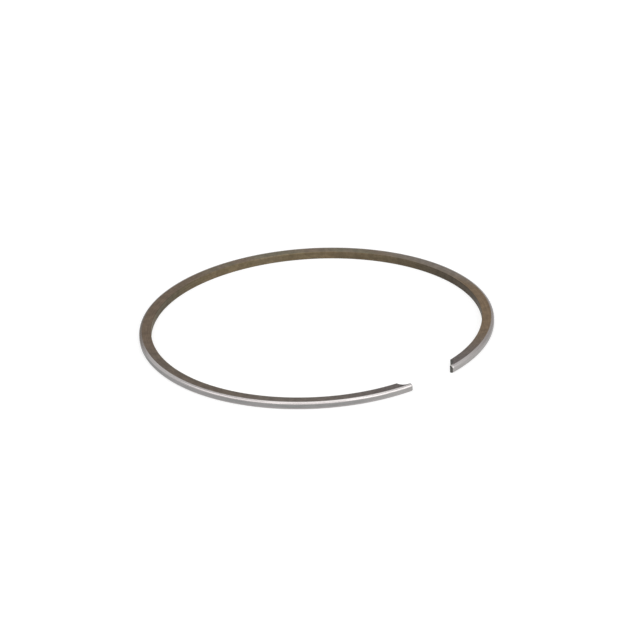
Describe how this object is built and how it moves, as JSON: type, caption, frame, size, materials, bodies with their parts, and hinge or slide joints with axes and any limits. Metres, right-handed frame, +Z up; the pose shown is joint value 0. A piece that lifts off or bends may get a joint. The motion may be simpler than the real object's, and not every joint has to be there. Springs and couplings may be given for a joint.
{
  "type": "piston ring",
  "caption": "Split compression ring for a small two-stroke engine, lying free, with a rounded running face, flat flanks and a stop-pin notch inside each end.",
  "frame": {"origin": "middle of the ring's outline, on the surface that its lower flank lies on", "axes": "+Z up, square to the flanks; the end gap faces -Y; X runs across the gap"},
  "size_m": [0.0548, 0.0536, 0.0012],
  "materials": {
    "ring_steel": "brown-grey ground flanks and inner face, bright lapped running face"
  },
  "bodies": {
    "root": {"piston_ring": "ring_steel"}
  },
  "joints": []
}
